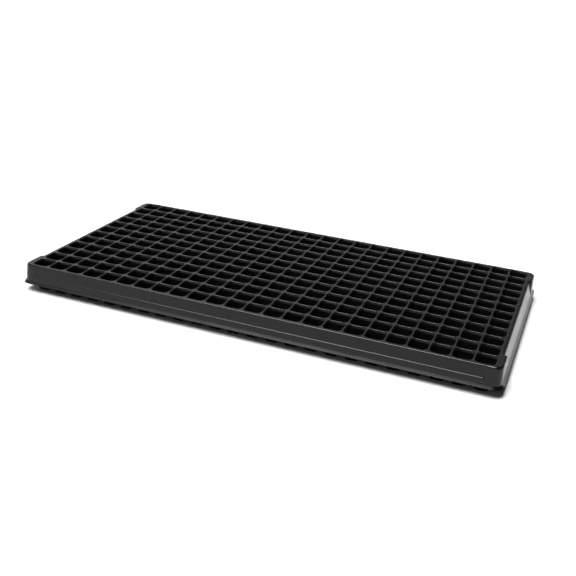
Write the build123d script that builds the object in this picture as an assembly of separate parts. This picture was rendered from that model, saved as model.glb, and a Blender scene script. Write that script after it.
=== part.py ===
from build123d import *
import os

# Plug tray: one vacuum-formed sheet with a grid of tapered square cells, split into its plain regions.
# Millimetres. The origin is on the floor under the middle of the tray, +X along the long side,
# +Y towards the back and +Z up. The cells hang from the deck and stand on the floor at z = 0.

# Cells
COLUMNS = 24
ROWS = 12
PITCH = 21.75
MOUTH_HALF = 9.35
TOE_HALF = 6.0
CELL_WALL = 0.5
BOTTOM_HEIGHT = 2.0
FLOOR_THICK = 0.8
FOOT_INSET = 1.0
DRAIN_RADIUS = 2.5

# Deck
HEIGHT = 31.5
SHEET = 0.8

# Skirt heights, measured down from the deck
LEDGE_DROP = 12.6
LIP_DROP = 18.8
RIM_DROP = 22.3
RIM_THICK = 0.7

# Skirt on the long sides: how far out each line of its outer face lies
SIDE_DECK = 133.2
SIDE_ABOVE_LEDGE = 134.3
SIDE_BELOW_LEDGE = 135.2
SIDE_LIP = 135.7
SIDE_RIM = 138.0

# Skirt on the ends
END_DECK = 265.2
END_LIP = 269.0
END_RIM = 271.5

# Corner lugs
LUG_DECK = 268.2
LUG_INNER_X = 255.0
LUG_INNER_Y = 103.5
LUG_RADIUS_DECK = 8.0
LUG_RADIUS_LIP = 8.8
LUG_RADIUS_RIM = 11.0

# Worked out from the sizes above
CELL_OUTER = MOUTH_HALF + CELL_WALL
RIB_HALF = PITCH / 2 - CELL_OUTER
GRID_X = (COLUMNS - 1) / 2 * PITCH + CELL_OUTER
GRID_Y = (ROWS - 1) / 2 * PITCH + CELL_OUTER
DECK_UNDER = HEIGHT - SHEET
BORDER_X = END_DECK - SHEET
BORDER_Y = SIDE_DECK - SHEET
BORDER_RADIUS = BORDER_X - LUG_DECK + LUG_RADIUS_DECK
CUT = 5.0


def polygon(points):
    """A flat face through the points."""
    return Face(Wire.make_polygon([Vector(*point) for point in points]))


def block(lower, upper):
    """A closed solid between two rings of four corners, given in the same order."""
    ends = [polygon(lower), polygon(upper)]
    sides = []
    for k in range(4):
        n = (k + 1) % 4
        sides.append(polygon([lower[k], lower[n], upper[n], upper[k]]))
    return Solid(Shell(ends + sides))


def square(half, z):
    """The corners of a level square about the Z axis."""
    return [(-half, -half, z), (half, -half, z), (half, half, z), (-half, half, z)]


def plate(x0, x1, y0, y1, z0, z1):
    """An upright rectangular plate between the given limits."""
    ring = [(x0, y0), (x1, y0), (x1, y1), (x0, y1)]
    return block([(x, y, z0) for x, y in ring], [(x, y, z1) for x, y in ring])


def column_x(column):
    """The middle of a column of cells."""
    return (column - (COLUMNS - 1) / 2) * PITCH


def row_y(row):
    """The middle of a row of cells."""
    return (row - (ROWS - 1) / 2) * PITCH


def cell_half(z):
    """Half the clear width inside a cell at a height."""
    return TOE_HALF + (MOUTH_HALF - TOE_HALF) * z / HEIGHT


# One cell


def cell_wall():
    """The wall of a cell that faces -Y, mitred at both upright corners."""
    rings = []
    for z in (BOTTOM_HEIGHT, HEIGHT):
        inner = cell_half(z)
        outer = inner + CELL_WALL
        rings.append([(-outer, -outer, z), (outer, -outer, z), (inner, -inner, z), (-inner, -inner, z)])
    return block(*rings)


def cell_bottom():
    """The shallow pan that closes a cell, with sloped lower edges and a drain hole."""
    rim = cell_half(BOTTOM_HEIGHT)
    foot = cell_half(0) + CELL_WALL - FOOT_INSET
    slope = (rim + CELL_WALL - foot) / BOTTOM_HEIGHT
    floor = foot + slope * FLOOR_THICK - CELL_WALL
    outside = block(square(foot, 0), square(rim + CELL_WALL, BOTTOM_HEIGHT))
    inside = block(square(floor, FLOOR_THICK), square(rim, BOTTOM_HEIGHT))
    drain = Cylinder(DRAIN_RADIUS, CUT)
    return (outside - inside - drain).solid()


# Rows of cells


def row_of(shapes, row):
    """The shapes of one cell, repeated for each cell of a row."""
    y = row_y(row)
    return [Pos(column_x(column), y, 0) * shape for column in range(COLUMNS) for shape in shapes]


def rows():
    """Each row's walls that face along Y, walls that face along X, and bottoms."""
    front = cell_wall()
    facing = [front, Rot(0, 0, 180) * front]
    side = [Rot(0, 0, 90) * front, Rot(0, 0, 270) * front]
    bottom = [cell_bottom()]
    nodes = {}
    for row in range(ROWS):
        name = f"cells_row_{row + 1:02d}"
        nodes[f"{name}_facing_walls"] = row_of(facing, row)
        nodes[f"{name}_side_walls"] = row_of(side, row)
        nodes[f"{name}_bottoms"] = row_of(bottom, row)
    return nodes


# Deck between and around the cells


def ribs_lengthwise():
    """The strips of deck between one row and the next."""
    lines = [(row_y(row) + row_y(row + 1)) / 2 for row in range(ROWS - 1)]
    return [plate(-GRID_X, GRID_X, y - RIB_HALF, y + RIB_HALF, DECK_UNDER, HEIGHT) for y in lines]


def ribs_crosswise():
    """The short strips of deck between neighbours in a row."""
    strips = []
    for column in range(COLUMNS - 1):
        x = (column_x(column) + column_x(column + 1)) / 2
        for row in range(ROWS):
            y = row_y(row)
            near = y - CELL_OUTER
            far = y + CELL_OUTER
            strips.append(plate(x - RIB_HALF, x + RIB_HALF, near, far, DECK_UNDER, HEIGHT))
    return strips


def border_front():
    """The strip of deck between the front row and the skirt."""
    return plate(-GRID_X, GRID_X, -BORDER_Y, -GRID_Y, DECK_UNDER, HEIGHT)


def border_right():
    """The strip of deck between the last column and the end panel, rounded at the lugs."""
    strip = plate(GRID_X, BORDER_X, -BORDER_Y, BORDER_Y, DECK_UNDER, HEIGHT)
    corners = strip.edges().filter_by(Axis.Z).sort_by(Axis.X)[-2:]
    return strip.fillet(BORDER_RADIUS, corners)


# Skirt


def band(outer_top, drop_top, outer_bottom, drop_bottom, half_length):
    """A sloping strip of the front skirt, one sheet thick, between two lines of its outer face."""
    rings = []
    for x in (-half_length, half_length):
        top = HEIGHT - drop_top
        bottom = HEIGHT - drop_bottom
        rings.append(
            [
                (x, -outer_top, top),
                (x, SHEET - outer_top, top),
                (x, SHEET - outer_bottom, bottom),
                (x, -outer_bottom, bottom),
            ]
        )
    return block(*rings)


def ledge_front():
    """The narrow level step between the upper and the lower band."""
    top = HEIGHT - LEDGE_DROP
    inner = SIDE_ABOVE_LEDGE - SHEET
    return plate(-LUG_INNER_X, LUG_INNER_X, -SIDE_BELOW_LEDGE, -inner, top - SHEET, top)


def lip(outer, rim, half_length):
    """The flared lip along the bottom of the front skirt, with an upright trimmed edge."""
    top = HEIGHT - LIP_DROP
    bottom = HEIGHT - RIM_DROP
    profile = [
        (-outer, top),
        (SHEET - outer, top),
        (SHEET - rim, bottom),
        (-rim, bottom),
        (-rim, bottom + RIM_THICK),
    ]
    section = polygon([(-half_length, y, z) for y, z in profile])
    return Solid.extrude(section, Vector(2 * half_length, 0, 0))


def skirt_front():
    """The front skirt, from the deck down to its lip."""
    lower_top = LEDGE_DROP + SHEET
    return {
        "upper": band(SIDE_DECK, 0, SIDE_ABOVE_LEDGE, LEDGE_DROP, LUG_INNER_X),
        "ledge": ledge_front(),
        "lower": band(SIDE_BELOW_LEDGE, lower_top, SIDE_LIP, LIP_DROP, LUG_INNER_X),
        "lip": lip(SIDE_LIP, SIDE_RIM, LUG_INNER_X),
    }


def end_panel_right():
    """The smooth sloping panel between the two lugs at the right end."""
    return Rot(0, 0, 90) * band(END_DECK, 0, END_LIP, LIP_DROP, LUG_INNER_Y)


def end_lip_right():
    """The flared lip under the end panel."""
    return Rot(0, 0, 90) * lip(END_LIP, END_RIM, LUG_INNER_Y)


# Corner lugs


def corner_outline(x, y, radius, z, inner_x, inner_y):
    """A level face with one rounded corner, at the front right of the tray."""
    before = Vector(x - radius, -y, z)
    after = Vector(x, radius - y, z)
    sides = Wire.make_polygon(
        [after, Vector(x, -inner_y, z), Vector(inner_x, -inner_y, z), Vector(inner_x, -y, z), before],
        close=False,
    )
    turn = Edge.make_tangent_arc(before, Vector(1, 0, 0), after)
    return Face(Wire(sides.edges() + ShapeList([turn])))


def corner_loft(inset, top, inner_x, inner_y):
    """The corner's tapered body down to the rim, drawn in by an inset on its two outer sides."""
    levels = (
        (LUG_DECK, SIDE_DECK, LUG_RADIUS_DECK, top),
        (END_LIP, SIDE_LIP, LUG_RADIUS_LIP, HEIGHT - LIP_DROP),
        (END_RIM, SIDE_RIM, LUG_RADIUS_RIM, HEIGHT - RIM_DROP),
    )
    outlines = []
    for x, y, radius, z in levels:
        outlines.append(corner_outline(x - inset, y - inset, radius - inset, z, inner_x, inner_y))
    return Solid.make_loft([outline.outer_wire() for outline in outlines], True)


def end_profile_void():
    """The space behind the end panel and its lip, across the lug's inner wall."""
    profile = [
        (LUG_INNER_X - CUT, DECK_UNDER),
        (BORDER_X, DECK_UNDER),
        (END_LIP - SHEET, HEIGHT - LIP_DROP),
        (END_RIM - SHEET, HEIGHT - RIM_DROP),
        (LUG_INNER_X - CUT, HEIGHT - RIM_DROP),
    ]
    section = polygon([(x, -LUG_INNER_Y - SHEET, z) for x, z in profile])
    return Solid.extrude(section, Vector(0, SHEET, 0))


def lug_front_right():
    """A corner of the skirt that stands out past the end panel, hollow and open below."""
    body = corner_loft(0, HEIGHT, LUG_INNER_X, LUG_INNER_Y)
    hollow = corner_loft(SHEET, DECK_UNDER, LUG_INNER_X - CUT, LUG_INNER_Y + SHEET)
    deck = plate(LUG_INNER_X - CUT, BORDER_X, -BORDER_Y, CUT - LUG_INNER_Y, DECK_UNDER - CUT, HEIGHT)
    corner = deck.edges().filter_by(Axis.Z).sort_by(Axis.X)[-2:].sort_by(Axis.Y)[0]
    deck = deck.fillet(BORDER_RADIUS, [corner])
    return (body - hollow - end_profile_void() - deck).solid()


# Assembly


def turned(shape):
    """The shape at the opposite side of the tray."""
    return Rot(0, 0, 180) * shape


def deck_nodes():
    """The deck's ribs and borders."""
    return {
        "deck_ribs_lengthwise": ribs_lengthwise(),
        "deck_ribs_crosswise": ribs_crosswise(),
        "deck_border_front": [border_front()],
        "deck_border_back": [turned(border_front())],
        "deck_border_right": [border_right()],
        "deck_border_left": [turned(border_right())],
    }


def skirt_nodes():
    """The four sides of the skirt."""
    nodes = {}
    for part, shape in skirt_front().items():
        nodes[f"skirt_front_{part}"] = [shape]
        nodes[f"skirt_back_{part}"] = [turned(shape)]
    nodes["end_panel_right"] = [end_panel_right()]
    nodes["end_panel_left"] = [turned(end_panel_right())]
    nodes["end_lip_right"] = [end_lip_right()]
    nodes["end_lip_left"] = [turned(end_lip_right())]
    return nodes


def lug_nodes():
    """The four corner lugs."""
    lug = lug_front_right()
    return {
        "lug_front_right": [lug],
        "lug_back_left": [turned(lug)],
        "lug_front_left": [lug.mirror(Plane.YZ)],
        "lug_back_right": [lug.mirror(Plane.XZ)],
    }


def main():
    """Writes one file for each region of the tray."""
    os.makedirs("parts", exist_ok=True)
    nodes = rows() | deck_nodes() | skirt_nodes() | lug_nodes()
    for name, shapes in nodes.items():
        export_step(Compound(shapes), f"parts/{name}.step")


main()
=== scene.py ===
import math

import bmesh
import bpy
from mathutils import Matrix, Vector


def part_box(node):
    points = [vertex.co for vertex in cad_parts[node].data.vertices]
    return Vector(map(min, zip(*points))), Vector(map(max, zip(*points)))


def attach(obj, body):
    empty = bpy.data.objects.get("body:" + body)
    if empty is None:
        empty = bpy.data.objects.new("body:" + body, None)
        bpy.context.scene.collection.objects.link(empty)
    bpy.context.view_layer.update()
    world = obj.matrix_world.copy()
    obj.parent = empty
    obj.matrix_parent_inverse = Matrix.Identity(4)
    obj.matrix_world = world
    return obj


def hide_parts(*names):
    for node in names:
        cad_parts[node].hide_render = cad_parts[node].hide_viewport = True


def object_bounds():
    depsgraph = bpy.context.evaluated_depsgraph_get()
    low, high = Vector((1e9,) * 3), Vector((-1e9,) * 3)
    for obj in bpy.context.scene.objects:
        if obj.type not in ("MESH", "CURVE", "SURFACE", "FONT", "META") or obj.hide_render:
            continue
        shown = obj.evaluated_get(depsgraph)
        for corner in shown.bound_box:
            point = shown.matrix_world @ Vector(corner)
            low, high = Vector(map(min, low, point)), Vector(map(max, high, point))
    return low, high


# Plug tray: one vacuum-formed sheet of black plastic. Its outer face is built as strips between rounded
# profiles, and each piece then gets the sheet's thickness. Lengths are metres, in the frame of the CAD.

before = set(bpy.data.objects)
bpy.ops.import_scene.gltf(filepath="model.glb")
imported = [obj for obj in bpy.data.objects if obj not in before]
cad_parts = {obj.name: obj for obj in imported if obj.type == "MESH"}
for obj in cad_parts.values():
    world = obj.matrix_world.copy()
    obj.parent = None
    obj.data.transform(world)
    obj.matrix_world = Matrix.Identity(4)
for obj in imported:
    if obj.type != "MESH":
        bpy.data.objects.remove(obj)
CAD_LOW, CAD_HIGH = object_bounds()
MM = 0.001

# Places, from the CAD
TOP = CAD_HIGH.z
FACING = [n for n in sorted(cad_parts) if n.startswith("cells_row") and n.endswith("facing_walls")]
ROW_BOXES = [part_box(n) for n in FACING]
ROW_Y = [(low.y + high.y) / 2 for low, high in ROW_BOXES]
PITCH = ROW_Y[1] - ROW_Y[0]
CELL_OUTER = (ROW_BOXES[0][1].y - ROW_BOXES[0][0].y) / 2
COLUMNS = round((ROW_BOXES[0][1].x - ROW_BOXES[0][0].x - 2 * CELL_OUTER) / PITCH) + 1
COLUMN_X = [(i - (COLUMNS - 1) / 2) * PITCH for i in range(COLUMNS)]
GRID_X = COLUMN_X[-1] + PITCH / 2
GRID_Y = ROW_Y[-1] + PITCH / 2
SKIRT_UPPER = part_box("skirt_front_upper")
SKIRT_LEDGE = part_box("skirt_front_ledge")
SKIRT_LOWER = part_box("skirt_front_lower")
SKIRT_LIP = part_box("skirt_front_lip")
END_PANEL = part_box("end_panel_right")
END_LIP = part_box("end_lip_right")
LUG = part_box("lug_front_right")
RIM_Y = -SKIRT_LIP[0].y
RIM_X = END_LIP[1].x
LIP_Z = SKIRT_LIP[1].z
CAD_RIM_Z = SKIRT_LIP[0].z
LIP_Y = -SKIRT_LOWER[0].y
LIP_X = END_PANEL[1].x
LEDGE_Z = SKIRT_LEDGE[1].z
LEDGE_OUT = -SKIRT_LEDGE[0].y
LEDGE_IN = -SKIRT_UPPER[0].y
LUG_END_Y = -LUG[1].y
LUG_START_X = LUG[0].x

# Sizes of the sheet
SHEET = 0.8 * MM
CELL_GAUGE = 0.5 * MM
MOUTH_HALF = CELL_OUTER - CELL_GAUGE
TOE_HALF = 6.0 * MM
FLOOR_Z = 0.51 * MM
DRAIN_RADIUS = 2.5 * MM
MOUTH_CORNER = 4.0 * MM
TOE_CORNER = 2.4 * MM
MOUTH_ROUND = 0.5 * MM
MOUTH_FLARE = 0.9 * MM
FLARE_DEPTH = 2.3 * MM
FLARE_ROUND = 0.9 * MM
FLOOR_ROUND = 1.0 * MM
DECK_SIDE_Y = 133.2 * MM
DECK_END_X = 265.2 * MM
DECK_LUG_X = 268.2 * MM
DECK_ROUND = 1.1 * MM
DECK_FLAT = 1.6 * MM
LUG_ROUND = 2.0 * MM
LUG_FLAT = 2.5 * MM
END_ROUND = 3.0 * MM
END_FLAT = 3.6 * MM
LEDGE_ROUND_IN = 0.15 * MM
LEDGE_ROUND_OUT = 0.8 * MM
LIP_ROUND = 0.5 * MM
RIM_RISE = 0.7 * MM
LUG_RADIUS_DECK = 8.0 * MM
LUG_RADIUS_LIP = 8.8 * MM
LUG_RADIUS_RIM = 11.0 * MM

# Where the ledge dies out before a lug, and the lug's step back to the end panel
LEDGE_FADE = 5.0 * MM
LUG_STEP = 1.5 * MM
LUG_STRAIGHT = 3.0 * MM
LUG_ARC_CLEAR = 6.0 * MM
MARGIN = 1.0 * MM

# Fineness. border_ring places its points for four corner steps.
CORNER_STEPS = 4
ROUND_STEPS = 4
LUG_STEPS = 10
FADE_STEPS = 6
STEP_STATIONS = 9
WELD = 0.001 * MM
SHARP_ANGLE = math.radians(42)

# Plastic: feature sizes are given as noise scales, per metre
TONE_DARK = (0.0012, 0.0012, 0.0013, 1)
TONE_PALE = (0.0024, 0.0024, 0.0025, 1)
ROUGH_LOW = 0.20
ROUGH_HIGH = 0.26
ROUGH_GRAIN = 0.05
PLASTIC_IOR = 1.36
SLOW_SCALE = 28
WAVE_SCALE = 70
FINE_SCALE = 900
GRAIN_SCALE = 2600
WAVE_STRENGTH = 0.15
WAVE_HEIGHT = 0.6 * MM
GRAIN_STRENGTH = 0.18
GRAIN_HEIGHT = 0.03 * MM

# The room, by direction from the tray
HORIZON = (0.085, 0.11)
WALL_DARK = 0.05
WALL_RISE = (0.12, 0.36)
WALL_FALL = (0.45, 0.75)
WALL_CEILING = 0.2
WALL_BACK = (-0.1, 0.35)
WALL_FRONT = 0.7
WALL_TURN = (-0.7, 0.3)
WALL_LEFT = 1.15
WALL_RIGHT = 0.08
BOX_LEFT = (-0.56, -0.30)
BOX_RIGHT = (-0.02, 0.12)
BOX_FRONT = (-0.68, -0.42)
BOX_BACK = (0.05, 0.25)
BOX_ABOVE = (0.3, 0.5)
BOX_STRENGTH = 21.0

# Floor
FLOOR_HALF = 20.0
FLOOR_GREY = (0.60, 0.60, 0.60, 1)


# ---------------------------------------------------------------- rounded profiles


def lerp(a, b, t):
    """The number a share t of the way from a to b."""
    return a + (b - a) * t


def smooth(t):
    """A share from 0 to 1, eased at both ends."""
    t = min(1.0, max(0.0, t))
    return t * t * (3 - 2 * t)


def rounded(corners, steps=ROUND_STEPS):
    """The points of a profile through (across, height, radius) corners, with an arc at each inner corner."""
    points = [Vector(corners[0][:2])]
    for before, here, after in zip(corners, corners[1:], corners[2:]):
        middle = Vector(here[:2])
        back = (Vector(before[:2]) - middle).normalized()
        ahead = (Vector(after[:2]) - middle).normalized()
        half_turn = back.angle(ahead) / 2
        reach = here[2] / math.tan(half_turn)
        centre = middle + (back + ahead).normalized() * (here[2] / math.sin(half_turn))
        start = middle + back * reach - centre
        turn = start.angle_signed(middle + ahead * reach - centre)
        for i in range(steps + 1):
            points.append(centre + Matrix.Rotation(-turn * i / steps, 2) @ start)
    points.append(Vector(corners[-1][:2]))
    return points


# ---------------------------------------------------------------- pieces of the sheet


class Skin:
    """The outer face of one piece of the sheet, with the share of the full thickness at each vertex."""

    def __init__(self):
        self.points = []
        self.shares = []
        self.faces = []

    def line(self, points, share=1.0):
        """Adds a line of vertices and gives their numbers."""
        first = len(self.points)
        self.points.extend(points)
        self.shares.extend([share] * len(points))
        return list(range(first, len(self.points)))

    def strip(self, one, other, closed=False):
        """Joins two lines of vertices with quads."""
        count = len(one)
        for i in range(count if closed else count - 1):
            j = (i + 1) % count
            self.faces.append((one[i], one[j], other[j], other[i]))


def solid(name, skin, nodes):
    """The piece as a closed sheet: welded, thickened inwards, with its trimmed edges kept sharp."""
    mesh = bpy.data.meshes.new(name + "_face")
    mesh.from_pydata([tuple(p) for p in skin.points], [], skin.faces)
    face = bpy.data.objects.new(name + "_face", mesh)
    bpy.context.scene.collection.objects.link(face)
    group = face.vertex_groups.new(name="gauge")
    for share in sorted(set(skin.shares)):
        group.add([i for i, s in enumerate(skin.shares) if s == share], share, "REPLACE")
    work = bmesh.new()
    work.from_mesh(mesh)
    bmesh.ops.remove_doubles(work, verts=work.verts, dist=WELD)
    bmesh.ops.dissolve_degenerate(work, edges=work.edges, dist=WELD)
    work.to_mesh(mesh)
    work.free()
    thick = face.modifiers.new("sheet", "SOLIDIFY")
    thick.thickness = SHEET
    thick.offset = -1
    thick.use_even_offset = True
    thick.use_quality_normals = True
    thick.vertex_group = "gauge"
    thick.thickness_vertex_group = 0.01
    bpy.context.view_layer.update()
    depsgraph = bpy.context.evaluated_depsgraph_get()
    final = bpy.data.meshes.new_from_object(face.evaluated_get(depsgraph), depsgraph=depsgraph)
    bpy.data.objects.remove(face)
    final.name = name
    final.shade_smooth()
    final.set_sharp_from_angle(angle=SHARP_ANGLE)
    piece = bpy.data.objects.new(name, final)
    bpy.context.scene.collection.objects.link(piece)
    piece.vertex_groups.clear()
    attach(piece, "root")
    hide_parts(*nodes)
    return piece


# ---------------------------------------------------------------- cells


def cell_half(z):
    """Half the clear width of a cell at a height."""
    return lerp(TOE_HALF, MOUTH_HALF, z / TOP)


def ring(half, radius, z):
    """A level square with rounded corners, as vertices from the right side round to the left and back."""
    points = []
    for quarter in range(4):
        turn = math.radians(90 * quarter)
        across = Vector((math.cos(turn), math.sin(turn)))
        along = Vector((-math.sin(turn), math.cos(turn)))
        middle = (across + along) * (half - radius)
        for i in range(CORNER_STEPS + 1):
            angle = math.radians(90 * i / CORNER_STEPS)
            p = middle + (across * math.cos(angle) + along * math.sin(angle)) * radius
            points.append(Vector((p.x, p.y, z)))
        points.append(Vector((along.x * half, along.y * half, z)))
    return points


def border_ring(half, straight, z):
    """The square round one cell, with a vertex for each vertex of a rounded ring inside it."""
    between = (straight + half) / 2
    points = []
    for quarter in range(4):
        turn = math.radians(90 * quarter)
        across = Vector((math.cos(turn), math.sin(turn)))
        along = Vector((-math.sin(turn), math.cos(turn)))
        side = [(half, straight), (half, between), (half, half), (between, half), (straight, half), (0, half)]
        for a, b in side:
            p = across * a + along * b
            points.append(Vector((p.x, p.y, z)))
    return points


def cell_rings():
    """One cell's rings about its own axis, from the square round it down to its drain hole, with shares."""
    profile = rounded(
        [
            (MOUTH_HALF + 3 * MM, TOP, 0),
            (MOUTH_HALF + MOUTH_FLARE, TOP, MOUTH_ROUND),
            (cell_half(TOP - FLARE_DEPTH), TOP - FLARE_DEPTH, FLARE_ROUND),
            (cell_half(FLOOR_Z), FLOOR_Z, FLOOR_ROUND),
            (DRAIN_RADIUS, FLOOR_Z, 0),
        ]
    )[1:-1]
    rings = []
    for index, (half, z) in enumerate(profile):
        plain = lerp(TOE_CORNER, MOUTH_CORNER, z / TOP)
        radius = plain + half - cell_half(z)
        share = lerp(1.0, CELL_GAUGE / SHEET, min(1.0, index / ROUND_STEPS))
        rings.append((ring(half, radius, z), share))
    mouth_half, top = profile[0]
    mouth_radius = MOUTH_CORNER + mouth_half - MOUTH_HALF
    rings.insert(0, (border_ring(PITCH / 2, mouth_half - mouth_radius, top), 1.0))
    floor = rings[-1][0]
    hole = [p.xy.normalized() * DRAIN_RADIUS for p in floor]
    rings.append(([Vector((p.x, p.y, FLOOR_Z)) for p in hole], CELL_GAUGE / SHEET))
    return rings


def cell_row(index):
    """One row of cells with the deck round them."""
    skin = Skin()
    rings = cell_rings()
    for x in COLUMN_X:
        place = Vector((x, ROW_Y[index], 0))
        lines = [skin.line([p + place for p in points], share) for points, share in rings]
        for outer, inner in zip(lines, lines[1:]):
            skin.strip(outer, inner, closed=True)
    number = f"cells_row_{index + 1:02d}"
    nodes = [f"{number}_facing_walls", f"{number}_side_walls", f"{number}_bottoms"]
    return solid(number, skin, nodes + ["deck_ribs_lengthwise", "deck_ribs_crosswise"])


# ---------------------------------------------------------------- skirt, ends and lugs


def plain_profile(deck, lip, rim, flat, edge):
    """The outer face of a wall with no ledge, from the flat deck to the rim, as (out, height) points."""
    return rounded(
        [
            (deck - flat, TOP, 0),
            (deck, TOP, edge),
            (lip, LIP_Z, LIP_ROUND),
            (rim, CAD_RIM_Z + RIM_RISE, 0),
        ]
    )


def ledge_profile():
    """The outer face of the long sides, with the narrow ledge half way down."""
    return rounded(
        [
            (DECK_SIDE_Y - DECK_FLAT, TOP, 0),
            (DECK_SIDE_Y, TOP, DECK_ROUND),
            (LEDGE_IN, LEDGE_Z, LEDGE_ROUND_IN),
            (LEDGE_OUT, LEDGE_Z, LEDGE_ROUND_OUT),
            (LIP_Y, LIP_Z, LIP_ROUND),
            (RIM_Y, CAD_RIM_Z + RIM_RISE, 0),
        ]
    )


def matched(plain, count):
    """A plain profile with as many points as the one with a ledge: the extra ones share out its tall wall."""
    head = plain[: ROUND_STEPS + 2]
    tail = plain[ROUND_STEPS + 2 :]
    extra = count - len(plain)
    middle = [head[-1].lerp(tail[0], (i + 1) / (extra + 1)) for i in range(extra)]
    return head + middle + tail


LEDGED = ledge_profile()
SIDE_PLAIN = matched(plain_profile(DECK_SIDE_Y, LIP_Y, RIM_Y, LUG_FLAT, LUG_ROUND), len(LEDGED))
LUG_PLAIN = matched(plain_profile(DECK_LUG_X, LIP_X, RIM_X, LUG_FLAT, LUG_ROUND), len(LEDGED))
END_PLAIN = matched(plain_profile(DECK_END_X, LIP_X, RIM_X, END_FLAT, END_ROUND), len(LEDGED))


def lug_radius(z):
    """The lug's corner radius, before its top edge is rounded, at a height."""
    if z > LIP_Z:
        return lerp(LUG_RADIUS_LIP, LUG_RADIUS_DECK, (z - LIP_Z) / (TOP - LIP_Z))
    return lerp(LUG_RADIUS_RIM, LUG_RADIUS_LIP, (z - CAD_RIM_Z) / (LIP_Z - CAD_RIM_Z))


def lug_line(z):
    """How far out the lug's long-side face would be at a height, with no rounding."""
    if z > LIP_Z:
        return lerp(LIP_Y, DECK_SIDE_Y, (z - LIP_Z) / (TOP - LIP_Z))
    return lerp(RIM_Y, LIP_Y, (z - CAD_RIM_Z) / (LIP_Z - CAD_RIM_Z))


def side_station(x, ledge):
    """The profile on the front side at a place along X, with some share of the ledge."""
    line = [Vector((x, -GRID_Y, TOP))]
    for plain, ledged in zip(SIDE_PLAIN, LEDGED):
        out, z = plain.lerp(ledged, ledge)
        line.append(Vector((x, -out, z)))
    return line


def corner_station(angle):
    """The profile part of the way round the lug's corner, from the front (0) to the end (90 degrees)."""
    line = [Vector((GRID_X, -GRID_Y, TOP))]
    share = angle / math.radians(90)
    for side, end in zip(SIDE_PLAIN, LUG_PLAIN):
        z = lerp(side.y, end.y, share)
        radius = lug_radius(side.y) - max(0.0, lug_line(side.y) - side.x)
        x = end.x - radius + radius * math.sin(angle)
        y = side.x - radius + radius * math.cos(angle)
        line.append(Vector((x, -y, z)))
    return line


def end_station(y, panel):
    """The profile on the right end at a place along Y, with some share of the end panel."""
    line = [Vector((GRID_X, y, TOP))]
    for lug, end in zip(LUG_PLAIN, END_PLAIN):
        out, z = lug.lerp(end, panel)
        line.append(Vector((out, y, z)))
    return line


def front_stations():
    """Half of the front side, from the middle of the tray to where the ledge fades out."""
    xs = {0.0}
    for x in COLUMN_X:
        if x > 0:
            xs.update((x - PITCH / 2, x))
    limit = LUG_START_X - LEDGE_FADE
    return [side_station(x, 1.0) for x in sorted(xs) if x < limit - MARGIN] + [side_station(limit, 1.0)]


def lug_stations():
    """The front right lug, from where the ledge fades out to the end panel."""
    start = LUG_START_X - LEDGE_FADE
    stations = []
    for i in range(FADE_STEPS + 1):
        t = i / FADE_STEPS
        stations.append(side_station(lerp(start, LUG_START_X, t), 1 - smooth(t)))
    stations.append(side_station(LUG_START_X + LUG_STRAIGHT, 0.0))
    for i in range(LUG_STEPS + 1):
        stations.append(corner_station(math.radians(90 * i / LUG_STEPS)))
    first = LUG_END_Y + LUG_STEP / 2
    for t in (0.0, 0.5, 1.0):
        stations.append(end_station(-lerp(GRID_Y - LUG_ARC_CLEAR, first + MARGIN, t), 0.0))
    for i in range(STEP_STATIONS + 1):
        t = i / STEP_STATIONS
        stations.append(end_station(-(first - LUG_STEP * t), smooth(t)))
    stations.append(end_station(-(first - LUG_STEP - MARGIN), 1.0))
    return stations


def end_stations():
    """Half of the right end, from the lug to the middle."""
    start = LUG_END_Y - LUG_STEP / 2 - MARGIN
    ys = [-y for y in ROW_Y if 0 < y < start - MARGIN] + [0.0, -start]
    return [end_station(y, 1.0) for y in sorted(ys)]


def mirrored(stations, sign_x, sign_y):
    """The stations moved to another quarter of the tray, still running the same way round."""
    moved = [[Vector((p.x * sign_x, p.y * sign_y, p.z)) for p in line] for line in stations]
    return moved if sign_x * sign_y > 0 else list(reversed(moved))


def swept(name, runs, first, last, nodes):
    """A piece of the rim of the tray between two points of the profile, over one or more runs of stations."""
    skin = Skin()
    for run in runs:
        lines = [skin.line(line[first:last]) for line in run]
        for one, other in zip(lines, lines[1:]):
            skin.strip(one, other)
    return solid(name, skin, nodes)


def skirt_pieces():
    """The deck's borders, the long sides, the ends and the four lugs."""
    front = front_stations()
    end = end_stations()
    lug = lug_stations()
    made = []
    for side, sign in (("front", 1), ("back", -1)):
        runs = [mirrored(front, 1, sign), mirrored(front, -1, sign)]
        bands = [f"skirt_{side}_{band}" for band in ("upper", "ledge", "lower", "lip")]
        made.append(swept(f"deck_border_{side}", runs, 0, 2, [f"deck_border_{side}"]))
        made.append(swept(f"skirt_{side}", runs, 1, None, bands))
    for side, sign in (("right", 1), ("left", -1)):
        runs = [mirrored(end, sign, 1), mirrored(end, sign, -1)]
        made.append(swept(f"deck_border_{side}", runs, 0, 2, [f"deck_border_{side}"]))
        made.append(swept(f"end_panel_{side}", runs, 1, None, [f"end_panel_{side}", f"end_lip_{side}"]))
    for depth, sign_y in (("front", 1), ("back", -1)):
        for side, sign_x in (("right", 1), ("left", -1)):
            name = f"lug_{depth}_{side}"
            made.append(swept(name, [mirrored(lug, sign_x, sign_y)], 0, None, [name]))
    return made


# ---------------------------------------------------------------- material


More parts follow.
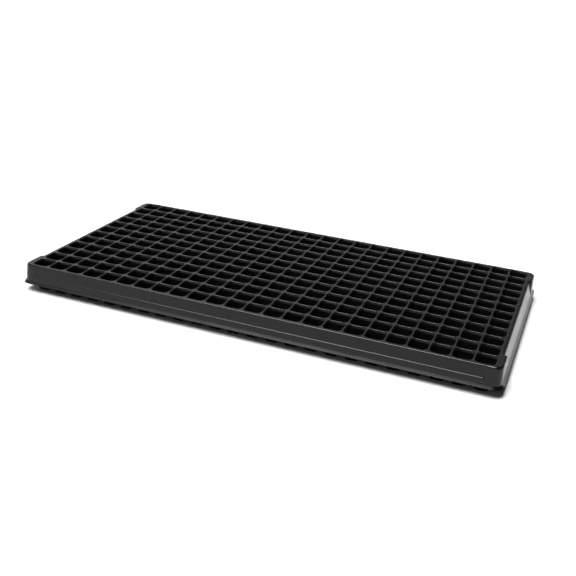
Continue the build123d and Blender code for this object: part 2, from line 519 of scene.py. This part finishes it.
def black_plastic():
    """Satin black plastic sheet: fine grain, slow waviness from forming and a slightly uneven gloss."""
    material = bpy.data.materials.new("black_plastic")
    material.use_nodes = True
    nodes = material.node_tree.nodes
    links = material.node_tree.links
    shader = nodes["Principled BSDF"]
    place = nodes.new("ShaderNodeTexCoord")

    def noise(scale, detail, rough=0.5):
        """Noise over the tray's own coordinates, with features about 1 / scale metres wide."""
        node = nodes.new("ShaderNodeTexNoise")
        node.inputs["Scale"].default_value = scale
        node.inputs["Detail"].default_value = detail
        node.inputs["Roughness"].default_value = rough
        links.new(place.outputs["Object"], node.inputs["Vector"])
        return node.outputs["Fac"]

    def spread(value, low, high):
        """The value's middle half spread over a range."""
        node = nodes.new("ShaderNodeMapRange")
        node.inputs["From Min"].default_value = 0.3
        node.inputs["From Max"].default_value = 0.7
        node.inputs["To Min"].default_value = low
        node.inputs["To Max"].default_value = high
        links.new(value, node.inputs["Value"])
        return node.outputs["Result"]

    slow = noise(SLOW_SCALE, 3)
    fine = noise(FINE_SCALE, 2)
    grain = noise(GRAIN_SCALE, 2, 0.6)
    tone = nodes.new("ShaderNodeMix")
    tone.data_type = "RGBA"
    tone.inputs[6].default_value = TONE_DARK
    tone.inputs[7].default_value = TONE_PALE
    links.new(spread(slow, 0, 1), tone.inputs[0])
    links.new(tone.outputs[2], shader.inputs["Base Color"])
    rough = nodes.new("ShaderNodeMath")
    rough.operation = "ADD"
    links.new(spread(slow, ROUGH_LOW, ROUGH_HIGH), rough.inputs[0])
    links.new(spread(fine, 0.0, ROUGH_GRAIN), rough.inputs[1])
    links.new(rough.outputs[0], shader.inputs["Roughness"])
    wave = nodes.new("ShaderNodeBump")
    wave.inputs["Strength"].default_value = WAVE_STRENGTH
    wave.inputs["Distance"].default_value = WAVE_HEIGHT
    links.new(noise(WAVE_SCALE, 2), wave.inputs["Height"])
    skin = nodes.new("ShaderNodeBump")
    skin.inputs["Strength"].default_value = GRAIN_STRENGTH
    skin.inputs["Distance"].default_value = GRAIN_HEIGHT
    links.new(grain, skin.inputs["Height"])
    links.new(wave.outputs["Normal"], skin.inputs["Normal"])
    links.new(skin.outputs["Normal"], shader.inputs["Normal"])
    shader.inputs["IOR"].default_value = PLASTIC_IOR
    return material


# ---------------------------------------------------------------- stage


def floor():
    """A pale floor that is seen from above and clear from underneath."""
    half = FLOOR_HALF
    mesh = bpy.data.meshes.new("floor")
    corners = [(-half, -half, 0), (half, -half, 0), (half, half, 0), (-half, half, 0)]
    mesh.from_pydata(corners, [], [(0, 1, 2, 3)])
    plane = bpy.data.objects.new("floor", mesh)
    bpy.context.scene.collection.objects.link(plane)
    material = bpy.data.materials.new("floor")
    material.use_nodes = True
    nodes = material.node_tree.nodes
    links = material.node_tree.links
    shader = nodes["Principled BSDF"]
    shader.inputs["Base Color"].default_value = FLOOR_GREY
    shader.inputs["Roughness"].default_value = 0.9
    shader.inputs["Specular IOR Level"].default_value = 0.1
    side = nodes.new("ShaderNodeNewGeometry")
    clear = nodes.new("ShaderNodeBsdfTransparent")
    mix = nodes.new("ShaderNodeMixShader")
    links.new(side.outputs["Backfacing"], mix.inputs["Fac"])
    links.new(shader.outputs[0], mix.inputs[1])
    links.new(clear.outputs[0], mix.inputs[2])
    links.new(mix.outputs[0], nodes["Material Output"].inputs["Surface"])
    mesh.materials.append(material)


def room():
    """A studio room: pale horizon, dark above it, pale again higher on the left, softbox overhead."""
    world = bpy.data.worlds.new("room")
    world.use_nodes = True
    nodes = world.node_tree.nodes
    links = world.node_tree.links
    place = nodes.new("ShaderNodeTexCoord")
    axes = nodes.new("ShaderNodeSeparateXYZ")
    links.new(place.outputs["Generated"], axes.inputs[0])

    def ramp(axis, start, end, low, high):
        """A soft step along one axis of the direction."""
        node = nodes.new("ShaderNodeMapRange")
        node.interpolation_type = "SMOOTHSTEP"
        node.inputs["From Min"].default_value = start
        node.inputs["From Max"].default_value = end
        node.inputs["To Min"].default_value = low
        node.inputs["To Max"].default_value = high
        links.new(axes.outputs[axis], node.inputs["Value"])
        return node.outputs["Result"]

    def combine(kind, one, other):
        """Two values joined by an operation."""
        node = nodes.new("ShaderNodeMath")
        node.operation = kind
        links.new(one, node.inputs[0])
        links.new(other, node.inputs[1])
        return node.outputs[0]

    walls = ramp("Z", *WALL_RISE, WALL_DARK, 1.0)
    walls = combine("MULTIPLY", walls, ramp("X", *WALL_TURN, WALL_LEFT, WALL_RIGHT))
    walls = combine("MULTIPLY", walls, ramp("Z", *WALL_FALL, 1.0, WALL_CEILING))
    walls = combine("MULTIPLY", walls, ramp("Y", *WALL_BACK, WALL_FRONT, 1.0))
    box = combine("MULTIPLY", ramp("X", *BOX_LEFT, 0.0, 1.0), ramp("X", *BOX_RIGHT, 1.0, 0.0))
    box = combine("MULTIPLY", box, ramp("Y", *BOX_FRONT, 0.0, 1.0))
    box = combine("MULTIPLY", box, ramp("Y", *BOX_BACK, 1.0, 0.0))
    box = combine("MULTIPLY", box, ramp("Z", *BOX_ABOVE, 0.0, BOX_STRENGTH))
    nodes["Background"].inputs["Color"].default_value = (1, 1, 1, 1)
    walls = combine("ADD", walls, ramp("Z", *HORIZON, 1.0, 0.0))
    links.new(combine("ADD", walls, box), nodes["Background"].inputs["Strength"])
    bpy.context.scene.world = world


# The camera, fitted to the photograph's angle
CAMERA_AT = Vector((0.3110, -0.8333, 0.3889))
CAMERA_TURN = math.radians(20.34)
CAMERA_DOWN = math.radians(23.26)
CAMERA_ROLL = math.radians(3.375)
CAMERA_LENS = 51.3


def camera():
    """The camera, in front and a little to the right, looking down along the tray."""
    look = Vector(
        (
            -math.sin(CAMERA_TURN) * math.cos(CAMERA_DOWN),
            math.cos(CAMERA_TURN) * math.cos(CAMERA_DOWN),
            -math.sin(CAMERA_DOWN),
        )
    )
    level = look.cross(Vector((0, 0, 1))).normalized()
    upright = level.cross(look)
    right = level * math.cos(CAMERA_ROLL) + upright * math.sin(CAMERA_ROLL)
    up = right.cross(look)
    data = bpy.data.cameras.new("camera")
    data.lens = CAMERA_LENS
    data.sensor_width = 36
    data.clip_start = 0.01
    data.clip_end = 100
    cam = bpy.data.objects.new("camera", data)
    cam.matrix_world = Matrix.Translation(CAMERA_AT) @ Matrix((right, up, -look)).transposed().to_4x4()
    bpy.context.scene.collection.objects.link(cam)
    bpy.context.scene.camera = cam


# ---------------------------------------------------------------- the scene

camera()
pieces = [cell_row(i) for i in range(len(ROW_Y))] + skirt_pieces()
plastic = black_plastic()
for piece in pieces:
    piece.data.materials.clear()
    piece.data.materials.append(plastic)
floor()
room()
bpy.context.scene.view_settings.view_transform = "Standard"
